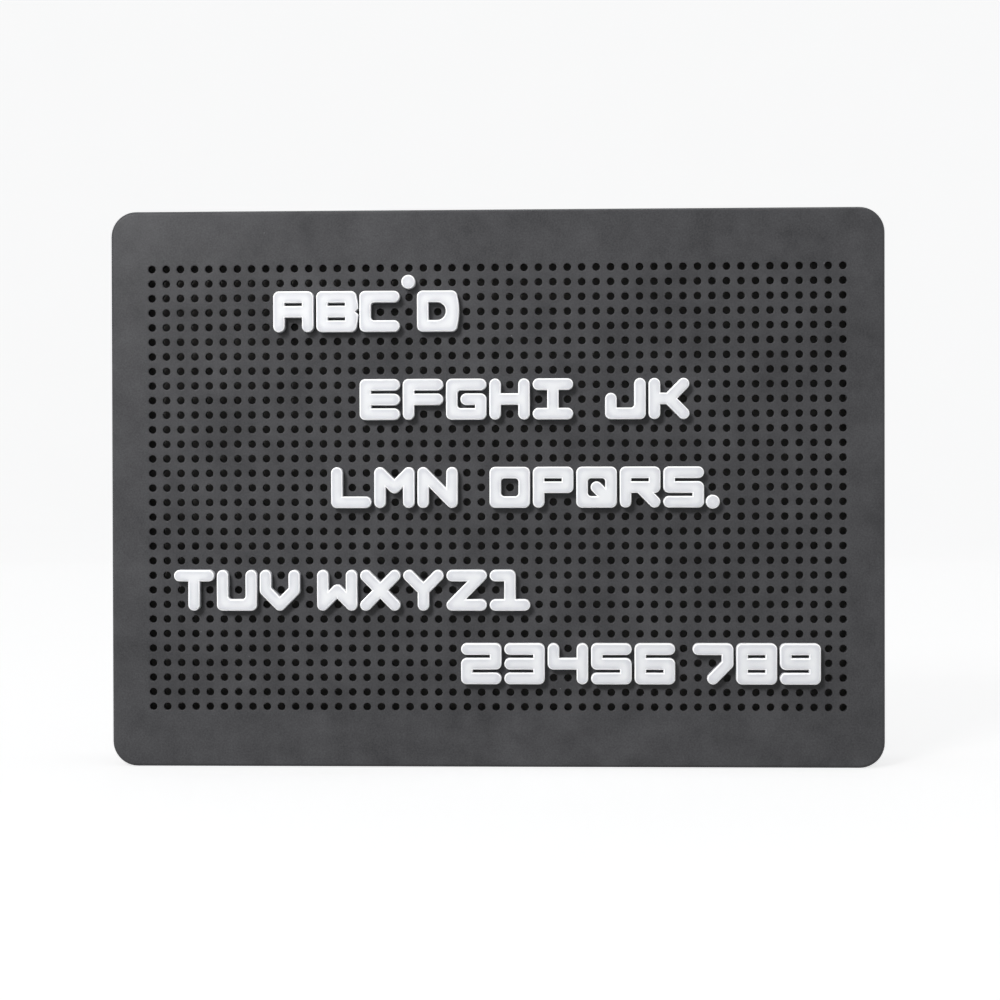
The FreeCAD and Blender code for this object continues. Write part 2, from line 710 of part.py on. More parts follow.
def make_battery_door():
    """Flush door: two tabs hook behind the bay's lower edge, a slit tongue latches the top."""
    body = new_body("battery_door", SEAM + " + sizes.rear_cavity + sizes.door_seat_gap")
    outline = new_sketch(body, "door_outline")
    draw_box(outline, "door_width", "door_height", None, "bay_centre_height",
             radius="door_radius")
    pad(body, outline, "door_thickness")
    feet = new_sketch(body, "door_tab_feet")
    tabs = new_sketch(body, "door_tabs", "-sizes.door_root_depth")
    slits = new_sketch(body, "latch_slits", "sizes.door_thickness")
    for side in (-1, 1):
        draw_box(feet, "door_tab_width", "door_root_height", "door_tab_x", "door_root_z", side)
        draw_box(tabs, "door_tab_width", "door_tab_height", "door_tab_x", "door_tab_z", side)
        draw_box(slits, "latch_slit", "latch_length", "slit_x", "slit_z", side)
    pad(body, feet, "door_root_depth", backwards=False)
    pad(body, tabs, "door_tab_thickness")
    pocket(body, slits, "door_thickness", backwards=False)
    groove = new_sketch(body, "grip_groove", "sizes.door_thickness")
    draw_box(groove, "grip_width", "grip_height", None, "grip_z")
    first = pocket(body, groove, "grip_depth", backwards=False)
    grooves = body.newObject("PartDesign::LinearPattern", "grip_grooves")
    grooves.Originals = [first]
    grooves.Direction = (groove, ["V_Axis"])
    grooves.setExpression("Length", "sizes.grip_reach")
    grooves.Occurrences = count("grip_count")
    body.Tip = grooves
    return body


# ------------------------------------------------------------------------------ light stack


def make_plate(label, width, height, radius, up, depth, thickness):
    """A rounded sheet across the case."""
    body = new_body(label, FRONT)
    outline = new_sketch(body, label + "_outline", "sizes." + depth)
    draw_box(outline, width, height, None, up, radius=radius)
    pad(body, outline, thickness)
    return body


def make_reflector_tray():
    """White tray that carries the light strips; its rim holds the diffuser against the rib."""
    body = make_plate("reflector_tray", "tray_width", "tray_height", "tray_radius", "field_mid",
                      "tray_front", "tray_depth")
    hollow = new_sketch(body, "tray_hollow", "sizes.tray_front")
    draw_box(hollow, "tray_inner_width", "tray_inner_height", None, "field_mid",
             radius="tray_inner_radius")
    pocket(body, hollow, "tray_recess")
    lead_hole = new_sketch(body, "lead_hole", "sizes.tray_front")
    draw_circle(lead_hole, "lead_hole_diameter", "lead_x", "lead_z")
    pocket(body, lead_hole, "tray_depth")
    return body


def box_about(width, depth, height, x, front, z):
    """A block centred on x and z, with its front at that depth."""
    return Part.makeBox(width, depth, height, Vector(x - width / 2, front, z - height / 2))


def strip_heights():
    for index in range(count("strip_count")):
        yield size("field_mid") + (index - (count("strip_count") - 1) / 2) * size("strip_pitch")


def make_light_strips():
    """Light strips across the tray, their chips, series resistors and the links between them."""
    strip_front = front_y + size("tray_back") - size("tray_wall") - size("strip_thickness")
    chip_front = strip_front - size("chip_thickness")
    resistor_front = strip_front - size("resistor_thickness")
    per_strip = count("chips_per_strip")
    chip_pitch = size("strip_length") / per_strip
    strips = []
    chips = []
    resistors = []
    for z in strip_heights():
        strips.append(box_about(size("strip_length"), size("strip_thickness"),
                                size("strip_width"), 0, strip_front, z))
        for index in range(per_strip):
            x = (index - (per_strip - 1) / 2) * chip_pitch
            chips.append(box_about(size("chip_width"), size("chip_thickness"),
                                   size("chip_height"), x, chip_front, z))
            if index % 3 == 1:
                x += chip_pitch / 2
                resistors.append(box_about(size("resistor_width"), size("resistor_thickness"),
                                           size("resistor_height"), x, resistor_front, z))
    feature_of("led_strips", Part.makeCompound(strips))
    feature_of("led_chips", Part.makeCompound(chips))
    feature_of("led_resistors", Part.makeCompound(resistors))

    heights = list(strip_heights())
    link_y = strip_front - size("link_diameter") / 2
    near = size("strip_length") / 2 - size("link_rise")
    far = size("strip_length") / 2 + size("link_rise")
    links = []
    for index in range(len(heights) - 1):
        side = 1 if index % 2 else -1
        low = heights[index]
        high = heights[index + 1]
        route = [Vector(side * near, link_y, low), Vector(side * far, link_y, low),
                 Vector(side * far, link_y, high), Vector(side * near, link_y, high)]
        links.append(make_wire(route, size("link_bend"), size("link_diameter")))
    feature_of("strip_links", Part.makeCompound(links))


def make_wire(route, bend, diameter):
    """A round wire along straight runs that arcs of the bend's radius join."""
    edges = []
    start = route[0]
    for index in range(1, len(route) - 1):
        corner = route[index]
        back = (route[index - 1] - corner).normalize()
        onward = (route[index + 1] - corner).normalize()
        half_turn = (math.pi - back.getAngle(onward)) / 2
        reach = bend * math.tan(half_turn)
        enter = corner + back * reach
        leave = corner + onward * reach
        middle = (back + onward).normalize()
        inside = corner + middle * (bend / math.cos(half_turn) - bend)
        edges.append(Part.LineSegment(start, enter).toShape())
        edges.append(Part.Arc(enter, inside, leave).toShape())
        start = leave
    edges.append(Part.LineSegment(start, route[-1]).toShape())
    path = Part.Wire(edges)
    section = Part.Wire([Part.makeCircle(diameter / 2, route[0], route[1] - route[0])])
    wire = path.makePipeShell([section], True, False)
    expected = math.pi * diameter ** 2 / 4 * path.Length
    if abs(wire.Volume - expected) > 0.01 * expected:
        raise ValueError("wire volume %.2f, expected %.2f" % (wire.Volume, expected))
    return wire


# ------------------------------------------------------------------------------ power supply


def cell_columns():
    """Index and centre line of each cell; even cells stand with their positive end up."""
    cells = count("cell_count")
    for index in range(cells):
        yield index, (index - (cells - 1) / 2) * size("cell_pitch")


def make_cells():
    radius = size("cell_diameter") / 2
    can_length = size("cell_length") - size("cell_nub_length")
    can = Part.makeCylinder(radius, can_length)
    rims = [edge for edge in can.Edges if isinstance(edge.Curve, Part.Circle)]
    can = can.makeFillet(size("cell_edge"), rims)
    overlap = size("cell_edge")
    nub = Part.makeCylinder(size("cell_nub_diameter") / 2, size("cell_nub_length") + overlap,
                            Vector(0, 0, can_length - overlap))
    cell = can.fuse(nub)
    y = seam_y + size("cell_axis")
    inset = size("plate_thickness") + size("contact_gap")
    cells = []
    for index, x in cell_columns():
        if index % 2:
            foot = Vector(x, y, size("bay_bottom") + inset + size("cell_length"))
            cells.append(cell.copy())
            cells[-1].Placement = Placement(foot, Rotation(Vector(1, 0, 0), 180))
        else:
            foot = Vector(x, y, size("bay_top") - inset - size("cell_length"))
            cells.append(cell.copy())
            cells[-1].Placement = Placement(foot, Rotation())
    feature_of("battery_cells", Part.makeCompound(cells))


def make_springs():
    """A tapered coil between each cell's negative end and its plate, wide at the plate."""
    wire = size("spring_wire")
    tip = size("spring_tip_diameter") / 2 - wire / 2
    base = size("spring_base_diameter") / 2 - wire / 2
    quarters = round(4 * size("spring_turns"))

    def on_coil(quarter):
        share = quarter / quarters
        radius = tip + (base - tip) * share
        angle = math.radians(90 * quarter)
        return Vector(radius * math.cos(angle), radius * math.sin(angle),
                      (size("spring_length") - wire) * share)

    arcs = [Part.Arc(on_coil(i), on_coil(i + 0.5), on_coil(i + 1)).toShape()
            for i in range(quarters)]
    start = arcs[0].tangentAt(arcs[0].FirstParameter)
    section = Part.Wire([Part.makeCircle(wire / 2, on_coil(0), start)])
    coil = Part.Wire(arcs).makePipeShell([section], True, False)
    y = seam_y + size("cell_axis")
    tip_height = size("plate_thickness") + size("spring_length") - wire / 2
    coils = []
    for index, x in cell_columns():
        spring = coil.copy()
        if index % 2:
            tip_centre = Vector(x, y, size("bay_top") - tip_height)
            spring.Placement = Placement(tip_centre, Rotation())
        else:
            tip_centre = Vector(x, y, size("bay_bottom") + tip_height)
            spring.Placement = Placement(tip_centre, Rotation(Vector(1, 0, 0), 180))
        coils.append(spring)
    feature_of("contact_springs", Part.makeCompound(coils))


def output_tab_top():
    return size("bay_top") + size("bay_wall") + size("plate_tab_reach")


def make_contact_plates():
    """Plates that join the cells in series, and two end plates with a tab out of the bay."""
    front = seam_y + size("plate_front")
    half = size("plate_thickness") / 2
    low = size("bay_bottom") + half
    high = size("bay_top") - half
    pair_width = size("plate_width") + size("cell_pitch")
    columns = dict(cell_columns())
    last = len(columns) - 1
    plates = []
    for index in range(last):
        middle = (columns[index] + columns[index + 1]) / 2
        plates.append(box_about(pair_width, size("plate_height"), size("plate_thickness"),
                                middle, front, high if index % 2 else low))
    tab_height = output_tab_top() - (size("bay_top") - size("plate_thickness"))
    tab_mid = output_tab_top() - tab_height / 2
    for index in (0, last):
        plate = box_about(size("plate_width"), size("plate_height"), size("plate_thickness"),
                          columns[index], front, high)
        tab = box_about(size("plate_tab_width"), size("plate_thickness"), tab_height,
                        columns[index], front, tab_mid)
        plates.append(plate.fuse(tab))
    feature_of("contact_plates", Part.makeCompound(plates))


def make_wiring():
    """Red and black wires from the bay's tabs to the board, and the pair to the first strip."""
    y = seam_y + size("plate_front") + size("plate_thickness") / 2
    board_face = seam_y + size("board_front")
    bottom = output_tab_top()
    outer_x = size("board_centre_x") - size("board_width") / 2 + size("wire_inset")
    land_z = size("board_centre_z") + size("board_height") / 2 - size("wire_landing")
    for label, side, turns in (("wire_red", -1, 2), ("wire_black", 1, 1)):
        x = side * size("output_x")
        top = bottom + turns * size("wire_rise")
        end_x = outer_x + (turns - 1) * size("wire_spread")
        route = [Vector(x, y, bottom), Vector(x, y, top), Vector(end_x, y, top),
                 Vector(end_x, y, land_z), Vector(end_x, board_face, land_z)]
        feature_of(label, make_wire(route, size("wire_bend"), size("wire_diameter")))

    strip_front = front_y + size("tray_back") - size("tray_wall") - size("strip_thickness")
    y = strip_front - size("wire_diameter") / 2
    strip_z = list(strip_heights())[1]
    leads = []
    for side in (-1, 1):
        x = size("lead_x") + side * size("lead_spacing") / 2
        route = [Vector(x, board_face, size("lead_z")), Vector(x, y, size("lead_z")),
                 Vector(x, y, strip_z)]
        leads.append(make_wire(route, size("lead_bend"), size("wire_diameter")))
    feature_of("led_leads", Part.makeCompound(leads))


def make_control_board():
    """The board with its four screw holes, and the parts that it carries on both faces."""
    body = new_body("control_board", SEAM)
    outline = new_sketch(body, "board_outline", "sizes.board_front")
    draw_box(outline, "board_width", "board_height", "board_centre_x", "board_centre_z")
    pad(body, outline, "board_thickness")
    holes = new_sketch(body, "board_holes", "sizes.board_front")
    for across, up in standoff_places():
        draw_circle(holes, "board_hole_diameter", across, up)
    pocket(body, holes, "board_thickness")

    back = seam_y + size("board_back")
    x = size("board_centre_x")
    z = size("board_centre_z")
    pieces = [box_about(size("driver_width"), size("driver_thickness"), size("driver_height"),
                        x + size("driver_offset_x"), back, z + size("driver_offset_z"))]
    for index in range(count("chip_resistor_count")):
        across = x + size("chip_resistor_offset_x") + index * size("chip_resistor_pitch")
        pieces.append(box_about(size("chip_resistor_width"), size("chip_resistor_thickness"),
                                size("chip_resistor_height"), across, back,
                                z + size("chip_resistor_offset_z")))
    start = Vector(x + size("capacitor_offset_x"),
                   seam_y + size("board_front") - size("capacitor_length"),
                   z + size("capacitor_offset_z"))
    pieces.append(Part.makeCylinder(size("capacitor_diameter") / 2, size("capacitor_length"),
                                    start, Y_AXIS))
    feature_of("board_chips", Part.makeCompound(pieces))


def make_switch():
    """Slide switch: a can on the board, and the block whose stem reaches out of the rear wall."""
    wall = size("switch_can_wall")
    gap = size("switch_clearance")
    back = seam_y + size("board_back")
    x = size("switch_x")
    z = size("switch_z")
    can_width = size("switch_can_width")
    can_height = size("switch_can_height")
    can_depth = size("switch_can_depth")
    can = box_about(can_width, can_depth, can_height, x, back, z)
    hollow = box_about(can_width - 2 * wall, can_depth - 2 * wall, can_height - 2 * wall,
                       x, back + wall, z)
    slot = box_about(size("switch_slot_width"), wall, size("switch_slot_height"),
                     x, back + can_depth - wall, z)
    feature_of("switch_body", can.cut(hollow).cut(slot))

    rest_x = x - size("switch_travel") / 2
    block_depth = can_depth - 2 * wall - 2 * gap
    block = box_about(size("switch_block_width"), block_depth, can_height - 2 * wall - 2 * gap,
                      rest_x, back + wall + gap, z)
    stem_reach = size("rear_depth") - size("board_back") - wall - gap
    stem = box_about(size("switch_stem_width"), stem_reach, size("switch_stem_height"),
                     rest_x, back + wall + gap, z)
    feature_of("switch_slider", block.fuse(stem))


def make_socket():
    """Power inlet at the right-hand side: a metal shell with a flat tongue inside."""
    shell = doc.addObject("PartDesign::Body", "usb_shell")
    shell.Label = "usb_shell"
    shell.setExpression("Placement.Base.y", SEAM)
    mouth = "sizes.case_width / 2 - sizes.socket_recess"
    outline = new_sketch(shell, "shell_outline", mouth, "YZ_Plane", "")
    draw_box(outline, "socket_thickness", "socket_width", "socket_y", "socket_z",
             radius="socket_radius")
    pad(shell, outline, "socket_length")
    hollow = new_sketch(shell, "shell_hollow", mouth, "YZ_Plane", "")
    draw_box(hollow, "socket_inner_thickness", "socket_inner_width", "socket_y", "socket_z",
             radius="socket_inner_radius")
    pocket(shell, hollow, "socket_cavity")

    length = size("socket_cavity") - size("tongue_recess")
    mouth_x = size("case_width") / 2 - size("socket_recess")
    front = seam_y + size("socket_y") - size("tongue_thickness") / 2
    tongue = box_about(length, size("tongue_thickness"), size("tongue_width"),
                       mouth_x - size("tongue_recess") - length / 2, front, size("socket_z"))
    feature_of("usb_tongue", tongue)


def make_screw(shank_diameter, shank_length, head_diameter, head_height, cross):
    """A round-headed screw along +Y with its head's seat at the origin, and a cross recess."""
    shank = Part.makeCylinder(shank_diameter / 2, shank_length, Vector(0, -shank_length, 0),
                              Y_AXIS)
    head = Part.makeCylinder(head_diameter / 2, head_height, Vector(), Y_AXIS)
    top = [edge for edge in head.Edges if edge.BoundBox.YMin > head_height - 1e-6]
    head = head.makeFillet(head_height / 3, top)
    cross_size, cross_width, cross_depth = cross
    front = head_height - cross_depth
    slot = box_about(cross_size, cross_depth, cross_width, 0, front, 0)
    cross_slot = box_about(cross_width, cross_depth, cross_size, 0, front, 0)
    return shank.fuse(head).cut(slot).cut(cross_slot)


def make_screws():
    cross = (size("screw_cross_size"), size("screw_cross_width"), size("screw_cross_depth"))
    screw = make_screw(size("screw_shank_diameter"), size("screw_shank_length"),
                       size("screw_head_diameter"), size("screw_head_height"), cross)
    seat_y = seam_y + size("screw_seat")
    screws = []
    for across, up, side in screw_places():
        screws.append(screw.copy())
        screws[-1].translate(Vector(side * size(across), seat_y, size(up)))
    feature_of("case_screws", Part.makeCompound(screws))

    small_cross = (size("board_screw_head_diameter") / 2, size("screw_cross_width"),
                   size("board_screw_head_height") / 2)
    screw = make_screw(size("board_screw_diameter"), size("board_screw_length"),
                       size("board_screw_head_diameter"), size("board_screw_head_height"),
                       small_cross)
    screws = []
    for across, up in standoff_places():
        screws.append(screw.copy())
        spot = Vector(size(across), seam_y + size("board_front"), size(up))
        screws[-1].Placement = Placement(spot, Rotation(Z_AXIS, 180))
    feature_of("board_screws", Part.makeCompound(screws))


# -------------------------------------------------------------------------------- characters

# Strokes of each character on a lattice of three by three peg holes: "02" is the hole at the
# left and the top, "20" the one at the right and the bottom.
STROKES = {
    "A": "00-02-22-20 01-21",
    "B": "00-02-22-20-00 01-21",
    "C": "22-02-00-20",
    "D": "00-02-22-20-00",
    "E": "22-02-00-20 01-21",
    "F": "22-02-00 01-21",
    "G": "22-02-00-20-21-11",
    "H": "00-02 01-21 20-22",
    "I": "02-22 12-10 00-20",
    "J": "22-20-00-01",
    "K": "00-02 01-11-22 11-20",
    "L": "02-00-20",
    "M": "00-02-11-22-20",
    "N": "00-02-20-22",
    "O": "00-02-22-20-00",
    "P": "00-02-22-21-01",
    "Q": "00-02-22-20-00 11-20",
    "R": "00-02-22-21-01 11-20",
    "S": "22-02-01-21-20-00",
    "T": "02-22 12-10",
    "U": "02-00-20-22",
    "V": "02-01-10-21-22",
    "W": "02-00-11-20-22",
    "X": "00-22 02-20",
    "Y": "02-11-22 11-10",
    "Z": "02-22-00-20",
    "1": "02-12-10 00-20",
    "2": "02-22-21-01-00-20",
    "3": "02-22-20-00 01-21",
    "4": "02-01-21 22-20",
    "5": "22-02-01-21-20-00",
    "6": "22-02-00-20-21-01",
    "7": "02-22-21-10",
    "8": "00-02-22-20-00 01-21",
    "9": "00-20-22-02-01-21",
}
SOFT_CORNERS = "CGJOQU"

# Row and columns of each character's middle, counted up and to the right from the middle hole.
CHARACTER_LINES = (
    (12, "ABCD", (-14, -11, -8, -4)),
    (6, "EFGHIJK", (-8, -5, -2, 1, 4, 9, 12)),
    (0, "LMNOPQRS", (-10, -7, -4, 1, 4, 7, 10, 13)),
    (-7, "TUVWXYZ1", (-21, -18, -15, -11, -8, -5, -2, 1)),
    (-12, "23456789", (-1, 2, 5, 8, 11, 15, 18, 21)),
)
# The upper dot sits one row under the top row.
DOTS = (("dot_upper", count("rows_each_side") - 1, -6), ("dot_lower", -1, 15))


def hole_centre(level, column):
    """Centre of a peg hole on the face."""
    x = column * size("hole_pitch_x")
    z = size("field_mid") + level * size("hole_pitch_z")
    return Vector(x, front_y, z)


def lattice_point(mark):
    """A lattice hole, from the middle one."""
    return Vector((int(mark[0]) - 1) * size("hole_pitch_x"), 0,
                  (int(mark[1]) - 1) * size("hole_pitch_z"))


def stroke_face(start, end):
    """A straight stroke with round ends."""
    half = size("stroke_width") / 2
    along = (end - start).normalize() * half
    side = Vector(-along.z, 0, along.x)
    edges = [
        Part.LineSegment(start + side, end + side).toShape(),
        Part.Arc(end + side, end + along, end - side).toShape(),
        Part.LineSegment(end - side, start - side).toShape(),
        Part.Arc(start - side, start - along, start + side).toShape(),
    ]
    return Part.Face(Part.Wire(edges))


def corner_fill(corner, back, onward):
    """What rounds off the inside of a square turn; its wire runs the way that strokes run."""
    if back.cross(onward).y < 0:
        back, onward = onward, back
    radius = size("inner_corner_radius")
    half = size("stroke_width") / 2
    inner = corner + (back + onward) * half
    centre = inner + (back + onward) * radius
    middle = centre - (back + onward).normalize() * radius
    edges = [
        Part.LineSegment(inner, inner + back * radius).toShape(),
        Part.Arc(inner + back * radius, middle, inner + onward * radius).toShape(),
        Part.LineSegment(inner + onward * radius, inner).toShape(),
    ]
    return Part.Face(Part.Wire(edges))


def bulge_face():
    """The bowed right side of B and D."""
    right = size("hole_pitch_x") + size("stroke_width") / 2
    top = Vector(right, 0, size("hole_pitch_z"))
    bottom = Vector(right, 0, -size("hole_pitch_z"))
    bow = Part.Arc(top, Vector(right + size("bowl_bulge"), 0, 0), bottom).toShape()
    return Part.Face(Part.Wire([bow, Part.LineSegment(bottom, top).toShape()]))


def notch_face():
    """The nick between the two bowls of B."""
    reach = size("notch_size")
    x = size("hole_pitch_x") + size("stroke_width") / 2 + size("bowl_bulge")
    corners = [Vector(x - reach, 0, 0), Vector(x, 0, reach), Vector(x + reach, 0, 0),
               Vector(x, 0, -reach)]
    return Part.Face(Part.makePolygon(corners + corners[:1]))


def bowl_fill():
    """What turns the square counter of an O into the round-sided one of a D."""
    half_height = size("hole_pitch_z") - size("stroke_width") / 2
    right = size("hole_pitch_x") - size("stroke_width") / 2
    centre_x = right - half_height
    corners = [Vector(centre_x, 0, half_height), Vector(right, 0, half_height),
               Vector(right, 0, -half_height), Vector(centre_x, 0, -half_height)]
    square = Part.Face(Part.makePolygon(corners + corners[:1]))
    circle = Part.makeCircle(half_height, Vector(centre_x, 0, 0), Y_AXIS)
    return square.cut(Part.Face(Part.Wire([circle])))


def character_face(letter):
    """Outline of a character about its middle hole, from its strokes."""
    faces = []
    for stroke in STROKES[letter].split():
        points = [lattice_point(mark) for mark in stroke.split("-")]
        for start, end in zip(points, points[1:]):
            faces.append(stroke_face(start, end))
        if letter in SOFT_CORNERS:
            if points[0] == points[-1]:
                points.append(points[1])
            for before, corner, after in zip(points, points[1:], points[2:]):
                back = before - corner
                onward = after - corner
                if min(back.Length, onward.Length) > 1.5 * size("hole_pitch_x"):
                    faces.append(corner_fill(corner, back.normalize(), onward.normalize()))
    if letter in "BD":
        faces.append(bulge_face())
    if letter == "D":
        faces.append(bowl_fill())
    outline = faces[0].multiFuse(faces[1:]).removeSplitter()
    if letter == "B":
        outline = outline.cut(notch_face())
    return outline.Faces[0]


def peg_at(point):
    """A peg behind a character, with a tapered tip."""
    radius = size("peg_diameter") / 2
    tip = size("peg_tip")
    thickness = size("character_thickness")
    foot = point + Vector(0, thickness / 2, 0)
    straight = thickness / 2 + size("peg_length") - tip
    shaft = Part.makeCylinder(radius, straight, foot, Y_AXIS)
    end = Part.makeCone(radius, radius - tip, tip, foot + Vector(0, straight, 0), Y_AXIS)
    return shaft.fuse(end)


def round_front(solid, radius):
    """Rounds the rim of a character's front face."""
    rim = [edge for edge in solid.Edges if edge.BoundBox.YMax < 1e-6]
    return solid.makeFillet(radius, rim)


def seat_on_face(label, shape, level, column):
    """Sets a character on the face, its pegs in their holes."""
    spot = hole_centre(level, column)
    spot.y -= size("character_thickness") + size("character_seat_gap")
    feature_of(label, shape, Placement(spot, Rotation()))


def make_characters():
    thickness = Vector(0, size("character_thickness"), 0)
    for level, letters, columns in CHARACTER_LINES:
        for letter, column in zip(letters, columns):
            plate = character_face(letter).extrude(thickness)
            plate = round_front(plate, size("character_edge_radius"))
            marks = set(STROKES[letter].replace(" ", "-").split("-")) - {"11"}
            pegs = [peg_at(lattice_point(mark)) for mark in sorted(marks)]
            label = ("digit_" if letter.isdigit() else "letter_") + letter
            seat_on_face(label, plate.multiFuse(pegs).removeSplitter(), level, column)


def make_dots():
    radius = size("dot_diameter") / 2
    disc = Part.makeCylinder(radius, size("character_thickness"), Vector(), Y_AXIS)
    disc = round_front(disc, size("character_edge_radius"))
    dot = disc.fuse(peg_at(Vector())).removeSplitter()
    for label, level, column in DOTS:
        seat_on_face(label, dot.copy(), level, column)


# ----------------------------------------------------------------------------------- build

make_front_panel()
make_rear_shell()
make_battery_door()
make_plate("diffuser_sheet", "tray_width", "tray_height", "tray_radius", "field_mid",
           "diffuser_front", "diffuser_thickness")
make_reflector_tray()
make_light_strips()
make_cells()
make_springs()
make_contact_plates()
make_wiring()
make_control_board()
make_switch()
make_socket()
make_screws()
make_characters()
make_dots()
doc.recompute()

for thing in doc.Objects:
    if "Invalid" in thing.State or "Error" in thing.State:
        raise ValueError("%s failed: %s" % (thing.Label, thing.State))
    if thing.TypeId == "PartDesign::Pocket":
        if thing.Shape.Volume > thing.BaseFeature.Shape.Volume - 0.01:
            raise ValueError(thing.Label + " cuts nothing")

SUB_PARTS = [
    "front_panel", "rear_shell", "battery_door", "diffuser_sheet", "reflector_tray",
    "led_strips", "led_chips", "led_resistors", "strip_links", "battery_cells",
    "contact_springs", "contact_plates", "wire_red", "wire_black", "led_leads",
    "control_board", "board_chips", "switch_body", "switch_slider", "usb_shell", "usb_tongue",
    "case_screws", "board_screws", "dot_upper", "dot_lower",
]
for level, letters, columns in CHARACTER_LINES:
    for letter in letters:
        SUB_PARTS.append(("digit_" if letter.isdigit() else "letter_") + letter)

for label in SUB_PARTS:
    found = doc.getObjectsByLabel(label)[0]
    if found.Shape.isNull() or not found.Shape.isValid():
        raise ValueError(label + " has no valid shape")
    if label.startswith(("letter_", "digit_", "dot_")) and len(found.Shape.Solids) != 1:
        raise ValueError(label + " is not in one piece")

os.makedirs("parts", exist_ok=True)
for label in SUB_PARTS:
    doc.getObjectsByLabel(label)[0].Shape.exportStep("parts/%s.step" % label)
print("%d sub-parts written" % len(SUB_PARTS))
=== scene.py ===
"""Peg board light box in its finishes, on a pale studio sweep."""
import json
import math

import bpy
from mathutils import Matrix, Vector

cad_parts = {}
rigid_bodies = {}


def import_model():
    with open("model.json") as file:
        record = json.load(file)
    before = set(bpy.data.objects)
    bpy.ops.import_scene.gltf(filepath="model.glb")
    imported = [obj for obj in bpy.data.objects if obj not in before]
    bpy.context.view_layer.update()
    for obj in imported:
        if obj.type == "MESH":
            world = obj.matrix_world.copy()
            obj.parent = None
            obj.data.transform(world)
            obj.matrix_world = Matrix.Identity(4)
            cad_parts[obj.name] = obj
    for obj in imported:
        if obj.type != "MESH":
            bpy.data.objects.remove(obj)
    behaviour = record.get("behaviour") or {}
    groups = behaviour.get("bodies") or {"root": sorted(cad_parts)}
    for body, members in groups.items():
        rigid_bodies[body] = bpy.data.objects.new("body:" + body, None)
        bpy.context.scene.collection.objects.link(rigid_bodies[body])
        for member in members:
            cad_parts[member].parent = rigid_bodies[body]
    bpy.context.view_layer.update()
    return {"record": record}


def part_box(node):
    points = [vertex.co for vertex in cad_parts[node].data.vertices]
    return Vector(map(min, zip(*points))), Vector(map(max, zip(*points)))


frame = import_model()

MM = 0.001
CELLS = 6
CELL_DIAMETER = 14.3 * MM


# ----------------------------------------------------------------------------- colour and nodes

def linear(code):
    """Linear red, green, blue and alpha of an sRGB hex colour."""
    parts = []
    for start in (1, 3, 5):
        level = int(code[start:start + 2], 16) / 255
        if level <= 0.04045:
            parts.append(level / 12.92)
        else:
            parts.append(((level + 0.055) / 1.055) ** 2.4)
    return (*parts, 1.0)


def add_node(material, kind, settings=None, links=None):
    """Adds a node; settings name properties or sockets, links name what feeds a socket."""
    tree = material.node_tree
    node = tree.nodes.new("ShaderNode" + kind)
    for name, value in (settings or {}).items():
        if isinstance(name, int) or name in node.inputs:
            node.inputs[name].default_value = value
        else:
            setattr(node, name, value)
    for name, source in (links or {}).items():
        tree.links.new(source, node.inputs[name])
    return node


def new_finish(name):
    """A material with its surface shader, and the object's own coordinates in metres."""
    material = bpy.data.materials.new(name)
    material.use_nodes = True
    surface = material.node_tree.nodes["Principled BSDF"]
    place = add_node(material, "TexCoord")
    return material, surface, place.outputs["Object"]


def join(material, source, socket):
    """Feeds a socket of a node that is already there."""
    material.node_tree.links.new(source, socket)


def per_metre(millimetres):
    """Scale that makes a pattern repeat about every so many millimetres."""
    return 1 / (millimetres * MM)


# ------------------------------------------------------------------------------------ finishes

def within(material, value, middle, half):
    """1 where the value lies no further than half from the middle, 0 elsewhere."""
    return add_node(material, "Math", {"operation": "COMPARE", 1: middle, 2: half},
                    {0: value}).outputs["Value"]


def combine(material, operation, first, second):
    return add_node(material, "Math", {"operation": operation},
                    {0: first, 1: second}).outputs["Value"]


def switch_marks(material, place):
    """Off and on as a ring and a bar, pad printed on the back at each side of the switch."""
    low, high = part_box("switch_body")
    x, z = (low[0] + high[0]) / 2, (low[2] + high[2]) / 2
    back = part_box("rear_shell")[1][1]
    reach, ring_radius = 11 * MM, 1.4 * MM
    half_line, half_bar, skin = 0.22 * MM, 1.6 * MM, 0.5 * MM
    spot = add_node(material, "VectorMath",
                    {"operation": "DISTANCE", 1: (x - reach, back, z)}, {0: place})
    ring = within(material, spot.outputs["Value"], ring_radius, half_line)
    axes = add_node(material, "SeparateXYZ", None, {"Vector": place}).outputs
    across = within(material, axes["X"], x + reach, half_line)
    printed = combine(material, "MULTIPLY", within(material, axes["Y"], back, skin), across)
    bar = combine(material, "MULTIPLY", within(material, axes["Z"], z, half_bar), printed)
    return combine(material, "MAXIMUM", ring, bar)


